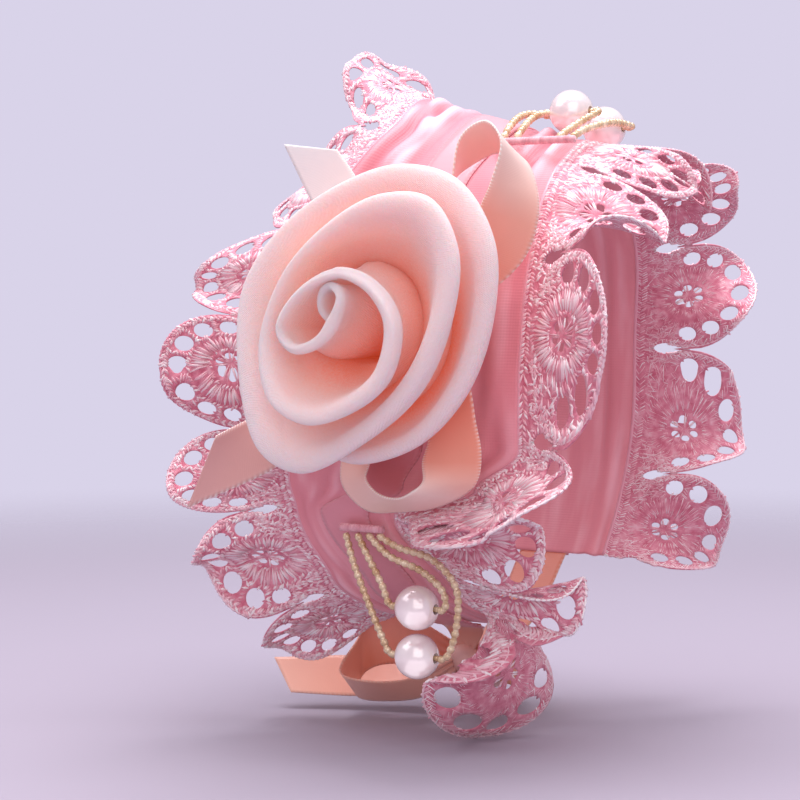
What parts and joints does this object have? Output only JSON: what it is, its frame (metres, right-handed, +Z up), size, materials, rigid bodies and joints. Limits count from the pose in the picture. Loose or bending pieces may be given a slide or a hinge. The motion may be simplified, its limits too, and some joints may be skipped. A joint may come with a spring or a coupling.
{
  "type": "floral wrist cuff",
  "caption": "Wrist cuff of gathered pink lace on an organza strip, with a rolled peach chiffon rose, satin bow, beaded pearl drops and a ribbon tie under the wrist.",
  "frame": {"origin": "centre of the wrist opening, on the axis of the arm", "axes": "+X along the arm, -Y the front that the rose faces, +Z up"},
  "size_m": [0.0904, 0.0993, 0.1246],
  "materials": {
    "organza": "sheer pink organza with a soft sheen",
    "lace": "glossy pink guipure lace of silky thread",
    "satin": "peach satin ribbon",
    "felt": "matt felt",
    "chiffon": "matt peach chiffon",
    "thread": "sewing thread",
    "seed_bead": "pale gold glass seed beads",
    "pearl": "pale pink pearl lustre"
  },
  "bodies": {
    "cuff": {"wrist_strip": "organza", "lace_left": "lace", "lace_right": "lace", "centre_ribbon": "satin", "bow_knot": "satin", "bow_loop_upper": "satin", "bow_loop_lower": "satin", "bow_tail_upper": "satin", "bow_tail_lower": "satin", "tie_front": "satin", "tie_back": "satin", "tie_knot": "satin", "tie_loop_left": "satin", "tie_loop_right": "satin", "tie_tail_left": "satin", "tie_tail_right": "satin", "felt_backing": "felt", "rose_bud": "chiffon", "rose_inner_wrap": "chiffon", "rose_middle_wrap": "chiffon", "rose_outer_wrap": "chiffon", "drop_bar_lower": "thread", "drop_bar_upper": "thread"},
    "drop_lower_short": {"bead_strand_lower_short": "seed_bead"},
    "pearl_lower_short": {"pearl_lower_short": "pearl"},
    "drop_lower_long": {"bead_strand_lower_long": "seed_bead"},
    "pearl_lower_long": {"pearl_lower_long": "pearl"},
    "drop_upper_short": {"bead_strand_upper_short": "seed_bead"},
    "pearl_upper_short": {"pearl_upper_short": "pearl"},
    "drop_upper_long": {"bead_strand_upper_long": "seed_bead"},
    "pearl_upper_long": {"pearl_upper_long": "pearl"}
  },
  "joints": [
    {"name": "swing_lower_short", "type": "hinge", "parent": "cuff", "child": "drop_lower_short", "pos_m": [-0.008, -0.02792, -0.02753], "axis": [-1, 0, 0], "range_deg": [-8, 60]},
    {"name": "spin_lower_short", "type": "hinge", "parent": "drop_lower_short", "child": "pearl_lower_short", "pos_m": [0.0034, -0.02792, -0.04053], "axis": [1, 0, 0], "continuous": true},
    {"name": "swing_lower_long", "type": "hinge", "parent": "cuff", "child": "drop_lower_long", "pos_m": [-0.008, -0.02792, -0.02753], "axis": [-1, 0, 0], "range_deg": [-8, 60]},
    {"name": "spin_lower_long", "type": "hinge", "parent": "drop_lower_long", "child": "pearl_lower_long", "pos_m": [0.0034, -0.02792, -0.04893], "axis": [1, 0, 0], "continuous": true},
    {"name": "swing_upper_short", "type": "hinge", "parent": "cuff", "child": "drop_upper_short", "pos_m": [0.018, -0.01379, 0.03942], "axis": [1, 0, 0], "range_deg": [0, 70]},
    {"name": "spin_upper_short", "type": "hinge", "parent": "drop_upper_short", "child": "pearl_upper_short", "pos_m": [0.0184, -0.001, 0.04512], "axis": [1, 0, 0], "continuous": true},
    {"name": "swing_upper_long", "type": "hinge", "parent": "cuff", "child": "drop_upper_long", "pos_m": [0.018, -0.01379, 0.03942], "axis": [1, 0, 0], "range_deg": [0, 70]},
    {"name": "spin_upper_long", "type": "hinge", "parent": "drop_upper_long", "child": "pearl_upper_long", "pos_m": [0.02, 0.00836, 0.04273], "axis": [1, 0, 0], "continuous": true}
  ]
}
